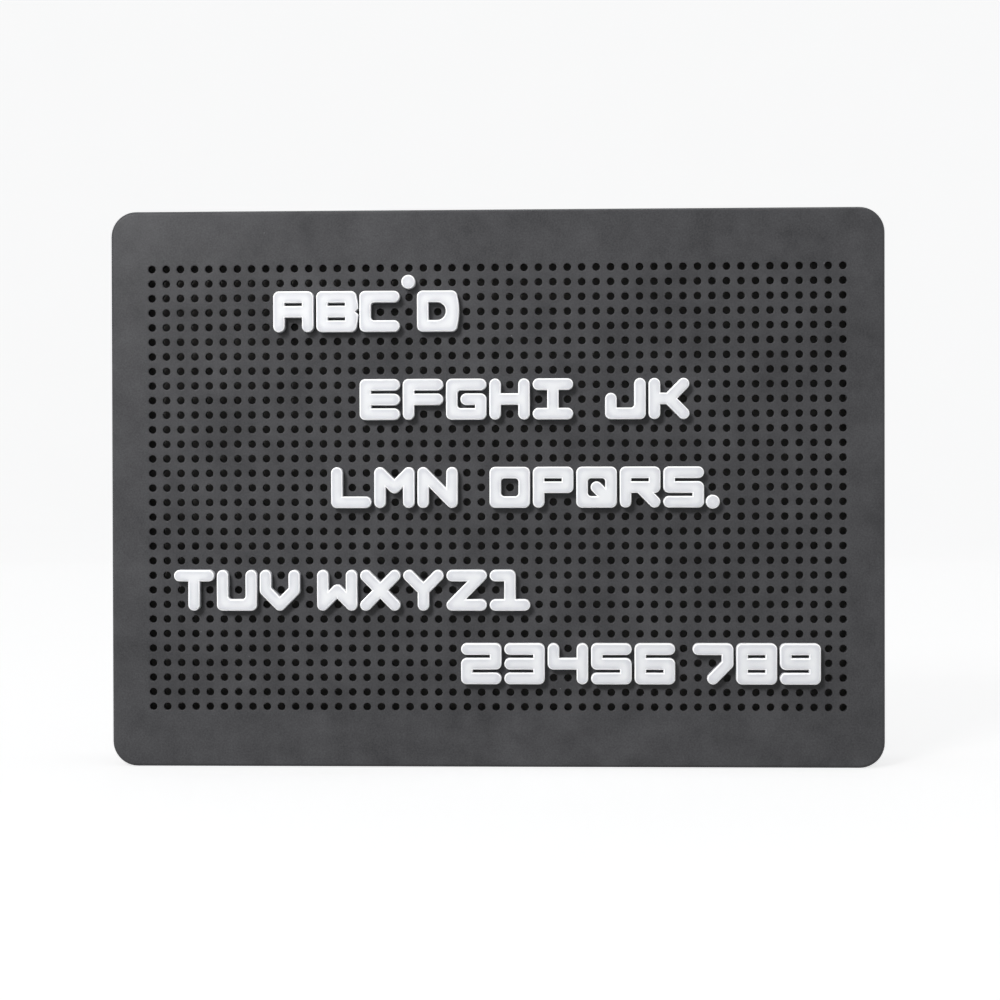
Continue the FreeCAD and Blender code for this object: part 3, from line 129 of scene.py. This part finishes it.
def moulded_grey_abs():
    """ABS from a spark-eroded tool: dark satin grey with a fine, faintly mottled grain."""
    material, surface, place = new_finish("moulded_grey_abs")
    # Flow marks from the gate drift over a few centimetres.
    drift = add_node(material, "TexNoise",
                     {"Scale": per_metre(34), "Detail": 3.0, "Roughness": 0.6},
                     {"Vector": place})
    # Handling leaves softer and duller patches of about a centimetre.
    patch = add_node(material, "TexNoise",
                     {"Scale": per_metre(9), "Detail": 2.0, "Roughness": 0.5},
                     {"Vector": place})
    # The eroded grain is 0.25 mm across, drawn at 0.7 mm so that it shows.
    grain = add_node(material, "TexNoise",
                     {"Scale": per_metre(0.7), "Detail": 2.0, "Roughness": 0.7},
                     {"Vector": place})
    wide = add_node(material, "MixRGB", {"Fac": 0.5},
                    {"Color1": drift.outputs["Fac"], "Color2": patch.outputs["Fac"]})
    tone = add_node(material, "MixRGB", {"Fac": 0.42},
                    {"Color1": wide.outputs["Color"], "Color2": grain.outputs["Fac"]})
    shade = add_node(material, "ValToRGB", None, {"Fac": tone.outputs["Color"]})
    shade.color_ramp.elements[0].position = 0.36
    shade.color_ramp.elements[0].color = linear("#303032")
    shade.color_ramp.elements[1].position = 0.64
    shade.color_ramp.elements[1].color = linear("#454547")
    # Lint and dust catch on the grain as pale specks of about 0.3 mm.
    specks = add_node(material, "TexVoronoi", {"Scale": per_metre(6.5), "Randomness": 1.0},
                      {"Vector": place})
    speck = add_node(material, "MapRange",
                     {"From Min": 0.035, "From Max": 0.02, "To Min": 0.0, "To Max": 1.0},
                     {"Value": specks.outputs["Distance"]})
    thin = add_node(material, "SeparateColor", None, {"Color": specks.outputs["Color"]})
    few = add_node(material, "Math", {"operation": "GREATER_THAN", 1: 0.86},
                   {0: thin.outputs["Red"]})
    dusty = combine(material, "MULTIPLY", speck.outputs["Result"], few.outputs["Value"])
    dust = add_node(material, "MixRGB", {"Color2": linear("#77767a")},
                    {"Fac": dusty, "Color1": shade.outputs["Color"]})
    marked = add_node(material, "MixRGB", {"Color2": linear("#b9b9b7")},
                      {"Fac": switch_marks(material, place),
                       "Color1": dust.outputs["Color"]})
    join(material, marked.outputs["Color"], surface.inputs["Base Color"])
    sheen = add_node(material, "MapRange", {"To Min": 0.2, "To Max": 0.29},
                     {"Value": wide.outputs["Color"]})
    join(material, sheen.outputs["Result"], surface.inputs["Roughness"])
    # The tool leaves every edge and hole rim broken by about 0.7 mm.
    rim = add_node(material, "Bevel", {"samples": 4, "Radius": 0.7 * MM})
    bump = add_node(material, "Bump", {"Strength": 0.25, "Distance": 0.05 * MM},
                    {"Height": grain.outputs["Fac"], "Normal": rim.outputs["Normal"]})
    join(material, bump.outputs["Normal"], surface.inputs["Normal"])
    surface.inputs["IOR"].default_value = 1.5
    surface.inputs["Specular IOR Level"].default_value = 0.22
    return material


def milky_acrylic():
    """Milky acrylic, injection moulded and polished: cool white, with a painted glow and
    painted highlight at its rims.
    """
    material, surface, place = new_finish("milky_acrylic")
    # Painted glow and painted highlight on the rounded rim, not on the upright sides: the rim
    # is coloured near white and emits light.
    facing = add_node(material, "SeparateXYZ", None, {"Vector": place.node.outputs["Normal"]})
    flat = add_node(material, "Math", {"operation": "ABSOLUTE"}, {0: facing.outputs["Y"]})
    rim = add_node(material, "ValToRGB", None, {"Fac": flat.outputs["Value"]})
    steps = rim.color_ramp.elements
    steps[0].position, steps[0].color = 0.2, (0.0, 0.0, 0.0, 1.0)
    steps[1].position, steps[1].color = 0.99, (0.0, 0.0, 0.0, 1.0)
    for position in (0.55, 0.93):
        steps.new(position).color = (1.0, 1.0, 1.0, 1.0)
    # A painted shade line darkens the strokes about 1 mm inside the rim, so the middle of each
    # stroke is left lighter.
    inward = add_node(material, "AmbientOcclusion", {"samples": 8, "inside": True,
                                                     "only_local": True, "Distance": 3 * MM})
    painted_shade_line = add_node(material, "ValToRGB", None, {"Fac": inward.outputs["AO"]})
    steps = painted_shade_line.color_ramp.elements
    steps[0].position, steps[0].color = 0.72, (1.0, 1.0, 1.0, 1.0)
    steps[1].position, steps[1].color = 0.98, (0.0, 0.0, 0.0, 1.0)
    steps.new(0.85).color = (0.35, 0.35, 0.35, 1.0)
    # Milkiness varies a little over 6 mm, as the melt filled the strokes.
    cloud = add_node(material, "TexNoise", {"Scale": per_metre(6), "Detail": 1.0},
                     {"Vector": place})
    body = add_node(material, "MixRGB",
                    {"Color1": linear("#dfe0e2"), "Color2": linear("#e6e7e8")},
                    {"Fac": cloud.outputs["Fac"]})
    # Painted shade: near the edges the colour is mixed to the darker grey of the line.
    lined = add_node(material, "MixRGB", {"Color2": linear("#d0d1d5")},
                     {"Fac": painted_shade_line.outputs["Color"], "Color1": body.outputs["Color"]})
    # Painted highlight: the rim mask mixes the colour to near white.
    shade = add_node(material, "MixRGB", {"Color2": linear("#f7f7f8")},
                     {"Fac": rim.outputs["Color"], "Color1": lined.outputs["Color"]})
    join(material, shade.outputs["Color"], surface.inputs["Base Color"])
    # Painted glow: the rim mask also drives the emission, though the characters are no lamp.
    join(material, rim.outputs["Color"], surface.inputs["Emission Color"])
    surface.inputs["Emission Strength"].default_value = 0.11
    surface.inputs["Roughness"].default_value = 0.34
    surface.inputs["IOR"].default_value = 1.49
    surface.inputs["Subsurface Weight"].default_value = 1.0
    surface.inputs["Subsurface Radius"].default_value = (1.0, 1.0, 1.0)
    surface.inputs["Subsurface Scale"].default_value = 1.5 * MM
    return material


def smoked_acrylic():
    """Lightly smoked acrylic sheet with a matt front: mid grey, with a hint of brown."""
    material, surface, place = new_finish("smoked_acrylic")
    haze = add_node(material, "TexNoise", {"Scale": per_metre(60), "Detail": 2.0},
                    {"Vector": place})
    shade = add_node(material, "MixRGB",
                     {"Color1": linear("#979491"), "Color2": linear("#9f9c98")},
                     {"Fac": haze.outputs["Fac"]})
    join(material, shade.outputs["Color"], surface.inputs["Base Color"])
    surface.inputs["Roughness"].default_value = 0.35
    surface.inputs["Specular IOR Level"].default_value = 0.1
    surface.inputs["IOR"].default_value = 1.49
    return material


def moulded_plastic(name, pale, deep, roughness, cloud_mm, grain_mm, grain_height):
    """Moulded or extruded plastic in one colour, with drifting tone and a fine grain."""
    material, surface, place = new_finish(name)
    cloud = add_node(material, "TexNoise", {"Scale": per_metre(cloud_mm), "Detail": 2.0},
                     {"Vector": place})
    shade = add_node(material, "MixRGB", {"Color1": linear(deep), "Color2": linear(pale)},
                     {"Fac": cloud.outputs["Fac"]})
    join(material, shade.outputs["Color"], surface.inputs["Base Color"])
    grain = add_node(material, "TexNoise", {"Scale": per_metre(grain_mm), "Detail": 2.0},
                     {"Vector": place})
    bump = add_node(material, "Bump", {"Strength": 0.3, "Distance": grain_height * MM},
                    {"Height": grain.outputs["Fac"]})
    join(material, bump.outputs["Normal"], surface.inputs["Normal"])
    surface.inputs["Roughness"].default_value = roughness
    surface.inputs["IOR"].default_value = 1.5
    return material


def plated_steel(name, pale, deep, roughness, streak_mm):
    """Steel strip or wire with a thin plating; the rolling or drawing leaves fine streaks."""
    material, surface, place = new_finish(name)
    along = add_node(material, "Mapping", {"Scale": (1.0, 1.0, 0.08)}, {"Vector": place})
    streak = add_node(material, "TexNoise", {"Scale": per_metre(streak_mm), "Detail": 3.0},
                      {"Vector": along.outputs["Vector"]})
    shade = add_node(material, "MixRGB", {"Color1": linear(deep), "Color2": linear(pale)},
                     {"Fac": streak.outputs["Fac"]})
    join(material, shade.outputs["Color"], surface.inputs["Base Color"])
    rough = add_node(material, "MapRange",
                     {"To Min": roughness - 0.06, "To Max": roughness + 0.1},
                     {"Value": streak.outputs["Fac"]})
    join(material, rough.outputs["Result"], surface.inputs["Roughness"])
    surface.inputs["Metallic"].default_value = 1.0
    return material


def foil_sleeve():
    """Cells in shrink sleeves: a plain white sleeve with a teal band and a bare steel nub."""
    material, surface, place = new_finish("foil_sleeve")
    axes = add_node(material, "SeparateXYZ", None, {"Vector": place}).outputs
    low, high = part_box("battery_cells")

    def above(height):
        return add_node(material, "Math", {"operation": "GREATER_THAN", 1: height},
                        {0: axes["Z"]}).outputs["Value"]

    def below(height):
        return add_node(material, "Math", {"operation": "LESS_THAN", 1: height},
                        {0: axes["Z"]}).outputs["Value"]

    # Each sleeve's band is 13 mm wide and lies near the cell's positive end.
    nub, band = 1.3 * MM, 13 * MM
    top_band, foot_band = above(high[2] - nub - band), below(low[2] + nub + band)
    # Every other cell stands upside down, so the side of the band changes at each pitch.
    pitch = (high[0] - low[0] - CELL_DIAMETER) / (CELLS - 1)
    count = add_node(material, "Math", {"operation": "DIVIDE", 1: 2 * pitch}, {0: axes["X"]})
    shifted = add_node(material, "Math", {"operation": "ADD", 1: 100.0},
                       {0: count.outputs["Value"]})
    part = add_node(material, "Math", {"operation": "FRACT"}, {0: shifted.outputs["Value"]})
    turned = add_node(material, "Math", {"operation": "LESS_THAN", 1: 0.5},
                      {0: part.outputs["Value"]})
    banded = add_node(material, "MixRGB", None,
                      {"Fac": turned.outputs["Value"], "Color1": top_band,
                       "Color2": foot_band})
    sleeve = add_node(material, "MixRGB",
                      {"Color1": linear("#d3d4d1"), "Color2": linear("#2c7a80")},
                      {"Fac": banded.outputs["Color"]})
    bare = add_node(material, "Math", {"operation": "ADD", "use_clamp": True},
                    {0: above(high[2] - nub), 1: below(low[2] + nub)})
    shade = add_node(material, "MixRGB", {"Color2": linear("#b9b9b6")},
                     {"Fac": bare.outputs["Value"], "Color1": sleeve.outputs["Color"]})
    join(material, shade.outputs["Color"], surface.inputs["Base Color"])
    crease = add_node(material, "TexNoise", {"Scale": per_metre(4), "Detail": 3.0},
                      {"Vector": place})
    bump = add_node(material, "Bump", {"Strength": 0.15, "Distance": 0.1 * MM},
                    {"Height": crease.outputs["Fac"]})
    join(material, bump.outputs["Normal"], surface.inputs["Normal"])
    surface.inputs["Metallic"].default_value = 0.1
    surface.inputs["Roughness"].default_value = 0.3
    return material


def etched_board():
    """Glass-epoxy board under green mask; the copper tracks show through as paler lines."""
    material, surface, place = new_finish("etched_board")
    turned = add_node(material, "Mapping", {"Rotation": (math.pi / 2, 0.0, 0.0)},
                      {"Vector": place})
    tracks = add_node(material, "TexBrick",
                      {"Scale": per_metre(22), "Mortar Size": 0.012,
                       "Color1": linear("#000000"), "Color2": linear("#000000"),
                       "Mortar": linear("#ffffff")},
                      {"Vector": turned.outputs["Vector"]})
    shade = add_node(material, "MixRGB",
                     {"Color1": linear("#12502c"), "Color2": linear("#2f8552")},
                     {"Fac": tracks.outputs["Color"]})
    join(material, shade.outputs["Color"], surface.inputs["Base Color"])
    surface.inputs["Roughness"].default_value = 0.35
    surface.inputs["IOR"].default_value = 1.5
    return material


FINISHES = {
    # Spark-eroded ABS: a dark satin skin with drifting tone; the peg holes swallow its light.
    "case_plastic": moulded_grey_abs(),
    # Milky acrylic: soft white strokes with a painted glowing, highlighted rim and a fine
    # painted shade line inside it.
    "character_plastic": milky_acrylic(),
    # Smoked acrylic: keeps the holes dark, with a dim grey where one is seen straight on.
    "smoked_sheet": smoked_acrylic(),
    # High-impact styrene: a chalky, faintly uneven white that throws the light forward.
    "tray_white": moulded_plastic(
        "moulded_white_styrene", "#eeeeec", "#e6e6e3", roughness=0.55,
        cloud_mm=40, grain_mm=0.8, grain_height=0.04),
    # White solder mask: a slightly glossy, creamier white that sets the strips off the tray.
    "strip_white": moulded_plastic(
        "white_solder_mask", "#e9e9e4", "#dededa", roughness=0.4,
        cloud_mm=12, grain_mm=0.6, grain_height=0.02),
    # Phosphor in silicone: the mustard yellow dot that marks a white LED when it is off.
    "led_phosphor": moulded_plastic(
        "silicone_phosphor", "#f0d878", "#e3c55a", roughness=0.4,
        cloud_mm=1.5, grain_mm=0.5, grain_height=0.02),
    # Moulded epoxy: dull black chip bodies with the fine pitting of the mould.
    "component_black": moulded_plastic(
        "moulded_epoxy", "#1f1f20", "#171718", roughness=0.5,
        cloud_mm=3, grain_mm=0.4, grain_height=0.03),
    # White PVC sleeve on the strip jumpers: smooth, a touch greyer than the tray behind it.
    "link_insulation": moulded_plastic(
        "white_pvc", "#e4e4e0", "#d9d9d5", roughness=0.4,
        cloud_mm=15, grain_mm=1.0, grain_height=0.02),
    # Red PVC on the positive lead: a waxy, deep signal red.
    "wire_red": moulded_plastic(
        "red_pvc", "#b01a16", "#9c1512", roughness=0.38,
        cloud_mm=15, grain_mm=1.0, grain_height=0.02),
    # Black PVC on the negative lead: waxy, darker than the case around it.
    "wire_black": moulded_plastic(
        "black_pvc", "#1c1c1d", "#141415", roughness=0.38,
        cloud_mm=15, grain_mm=1.0, grain_height=0.02),
    # Shrink sleeve: a white and teal skin; the band and steel nub tell which way a cell lies.
    "cell_can": foil_sleeve(),
    # Nickel on spring wire: warm, bright turns with drawing streaks along them.
    "spring_steel": plated_steel(
        "nickel_plated_spring_wire", "#c4c2bd", "#a8a6a1", roughness=0.28, streak_mm=0.4),
    # Nickel on strip: a soft yellowish mirror with fine rolling streaks.
    "contact_nickel": plated_steel(
        "nickel_plated_strip", "#cbc8c0", "#b3b0a8", roughness=0.3, streak_mm=0.5),
    # Tinned steel: the cooler, greyer mirror of the socket's shell.
    "stamped_steel": plated_steel(
        "tinned_steel", "#bfc0c1", "#a6a7a8", roughness=0.33, streak_mm=0.5),
    # Black zinc: screw heads a shade darker and glossier than the plastic they sit in.
    "screw_steel": plated_steel(
        "black_zinc_steel", "#4b4b4d", "#343436", roughness=0.4, streak_mm=0.5),
    # Green mask over copper: a dark glossy green crossed by paler tracks.
    "board_laminate": etched_board(),
    # Moulded acetal: a waxy near black, so that the knob reads apart from the grey case.
    "switch_knob": moulded_plastic(
        "moulded_acetal", "#1d1d1e", "#151516", roughness=0.42,
        cloud_mm=3, grain_mm=0.4, grain_height=0.02),
}

for row in frame["record"]["subparts"]:
    piece = bpy.data.objects[row["node"]]
    for slot in piece.material_slots:
        slot.material = FINISHES[row["material_slot"]]

# --------------------------------------------------------------------------------------- stage

def studio_paper():
    """Seamless white paper lit through from behind: matte and very faintly cloudy."""
    material, surface, place = new_finish("studio_paper")
    cloud = add_node(material, "TexNoise", {"Scale": per_metre(90), "Detail": 2.0},
                     {"Vector": place})
    shade = add_node(material, "MixRGB",
                     {"Color1": linear("#f6f6f6"), "Color2": linear("#fafafa")},
                     {"Fac": cloud.outputs["Fac"]})
    join(material, shade.outputs["Color"], surface.inputs["Base Color"])
    surface.inputs["Roughness"].default_value = 0.9
    surface.inputs["Specular IOR Level"].default_value = 0.1
    surface.inputs["Emission Color"].default_value = (1.0, 1.0, 1.0, 1.0)
    surface.inputs["Emission Strength"].default_value = 0.72
    return material


def lay_cove():
    """A round cove of paper: a floor that curves up into a wall, far from the piece."""
    floor, bend, top, turns, floor_rings, bend_rings = 2.1, 0.6, 2.6, 64, 4, 12
    profile = [(floor * step / floor_rings, 0.0) for step in range(1, floor_rings + 1)]
    for step in range(1, bend_rings + 1):
        angle = math.radians(90 * step / bend_rings)
        profile.append((floor + bend * math.sin(angle), bend * (1 - math.cos(angle))))
    profile.append((floor + bend, top))
    points = [(0.0, 0.0, 0.0)]
    for reach, height in profile:
        for turn in range(turns):
            angle = 2 * math.pi * turn / turns
            points.append((reach * math.cos(angle), reach * math.sin(angle), height))
    faces = [(0, 1 + turn, 1 + (turn + 1) % turns) for turn in range(turns)]
    for ring in range(len(profile) - 1):
        for turn in range(turns):
            low = 1 + ring * turns + turn
            low_next = 1 + ring * turns + (turn + 1) % turns
            faces.append((low, low + turns, low_next + turns, low_next))
    mesh = bpy.data.meshes.new("paper_cove")
    mesh.from_pydata(points, [], faces)
    for polygon in mesh.polygons:
        polygon.use_smooth = True
    cove = bpy.data.objects.new("paper_cove", mesh)
    mesh.materials.append(studio_paper())
    bpy.context.scene.collection.objects.link(cove)
    # The paper throws no light on the piece, so the shade under the characters stays deep.
    cove.visible_diffuse = False
    cove.visible_shadow = False
    return cove


def hang_softbox(name, place, target, width, height, watts):
    """A rectangular lamp at a place, turned to face the target."""
    light = bpy.data.lights.new(name, "AREA")
    light.shape = "RECTANGLE"
    light.size = width
    light.size_y = height
    light.energy = watts
    lamp = bpy.data.objects.new(name, light)
    lamp.location = place
    aim = [target[i] - place[i] for i in range(3)]
    yaw = math.atan2(aim[1], aim[0]) - math.pi / 2
    pitch = math.atan2(aim[2], math.hypot(aim[0], aim[1])) + math.pi / 2
    lamp.rotation_euler = (pitch, 0.0, yaw)
    bpy.context.scene.collection.objects.link(lamp)
    return lamp


cove = lay_cove()
middle = (0.0, 0.0, 0.11)
key_place = (-0.65, -1.54, 1.02)
rear = hang_softbox("rear_softbox", (0.75, 1.5, 1.0), middle, 0.7, 0.7, 42.0)
key = hang_softbox("key_softbox", key_place, middle, 0.45, 0.45, 40.5)
overhead = hang_softbox("overhead_softbox", (0.0, 0.0, 1.5), (0.0, 0.0, 0.0), 1.4, 1.2, 11.0)
# Level with the back, so that they light the ends and the characters' sides but not the face.
left = hang_softbox("left_softbox", (-1.8, 0.25, 0.6), middle, 0.9, 0.9, 13.0)
right = hang_softbox("right_softbox", (1.8, 0.25, 0.6), middle, 0.9, 0.9, 13.0)
# The hard lamps have no glare: seen along the top face it would burn that face out.
for lamp in (key, rear, left, right):
    lamp.visible_glossy = False
# A wide, weak lamp gives the sheen instead, strongest at the upper left of the face.
sheen_lamp = hang_softbox("sheen_softbox", (-0.75, -1.5, 0.8), middle, 1.0, 1.0, 11.0)
sheen_lamp.visible_diffuse = False
lamps = [key, rear, left, right, overhead, sheen_lamp]
# These light the piece and not the paper; a weak lamp beside the key draws the shade there.
paper_lamp = hang_softbox("paper_softbox", key_place, middle, 0.45, 0.45, 5.0)
without_paper = bpy.data.collections.new("without_paper")
without_paper.objects.link(cove)
without_paper.collection_objects[0].light_linking.link_state = "EXCLUDE"
only_paper = bpy.data.collections.new("only_paper")
only_paper.objects.link(cove)
for lamp in lamps:
    lamp.light_linking.receiver_collection = without_paper
paper_lamp.light_linking.receiver_collection = only_paper

world = bpy.data.worlds.new("studio_air")
world.use_nodes = True
air = world.node_tree.nodes["Background"].inputs
air["Color"].default_value = (0.97, 0.985, 1.0, 1.0)
air["Strength"].default_value = 0.22
bpy.context.scene.world = world
bpy.context.scene.view_settings.view_transform = "Standard"

FOCAL_PIXELS, PICTURE_PIXELS, SENSOR = 2200, 1000, 36.0
lens = bpy.data.cameras.new("camera")
lens.sensor_width = SENSOR
lens.lens = FOCAL_PIXELS * SENSOR / PICTURE_PIXELS
camera = bpy.data.objects.new("camera", lens)
camera.location = (0.03766, -0.89133, 0.11397)
camera.rotation_euler = [math.radians(turn) for turn in (89.458, 0.13, 2.369)]
bpy.context.scene.collection.objects.link(camera)
bpy.context.scene.camera = camera
